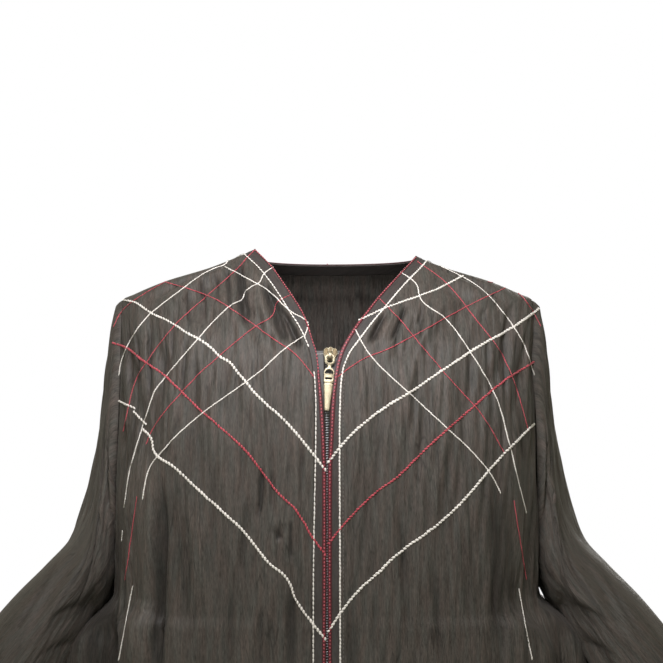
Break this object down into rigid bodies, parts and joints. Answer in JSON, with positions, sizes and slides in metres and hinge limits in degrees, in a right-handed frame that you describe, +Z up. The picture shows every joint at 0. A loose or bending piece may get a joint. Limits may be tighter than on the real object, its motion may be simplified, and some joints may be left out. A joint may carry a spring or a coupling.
{
  "type": "abaya",
  "caption": "Long black zip-front abaya with a V neck and loose set-in sleeves, hollow as worn, with a swinging zip pull.",
  "frame": {"origin": "middle of the neck base, level with the point where neck and shoulder meet; the wearer's shoulders hold the garment there", "axes": "+Z up along the wearer's neck, front of the garment towards -Y, the wearer's left on +X"},
  "size_m": [0.9042, 0.4574, 1.402],
  "materials": {
    "crinkled_black_crepe": "fine upright crinkle with a soft sheen",
    "grey_zip_tape": "woven tape",
    "black_zip_teeth": "satin black",
    "pale_zip_metal": "pale gold nickel, polished"
  },
  "bodies": {
    "garment": {"front_right": "crinkled_black_crepe", "front_left": "crinkled_black_crepe", "back": "crinkled_black_crepe", "sleeve_right": "crinkled_black_crepe", "sleeve_left": "crinkled_black_crepe", "front_band_right": "crinkled_black_crepe", "front_band_left": "crinkled_black_crepe", "back_neck_band": "crinkled_black_crepe", "zip_tape_right": "grey_zip_tape", "zip_tape_left": "grey_zip_tape", "zip_chain": "black_zip_teeth", "zip_bottom_stop": "pale_zip_metal", "zip_slider": "pale_zip_metal"},
    "pull": {"zip_pull": "pale_zip_metal"}
  },
  "joints": [
    {"name": "pull_swing", "type": "hinge", "parent": "garment", "child": "pull", "pos_m": [0.00305, -0.10447, -0.10791], "axis": [-0.9982, 0.023, 0.0547], "range_deg": [0, 150]}
  ]
}
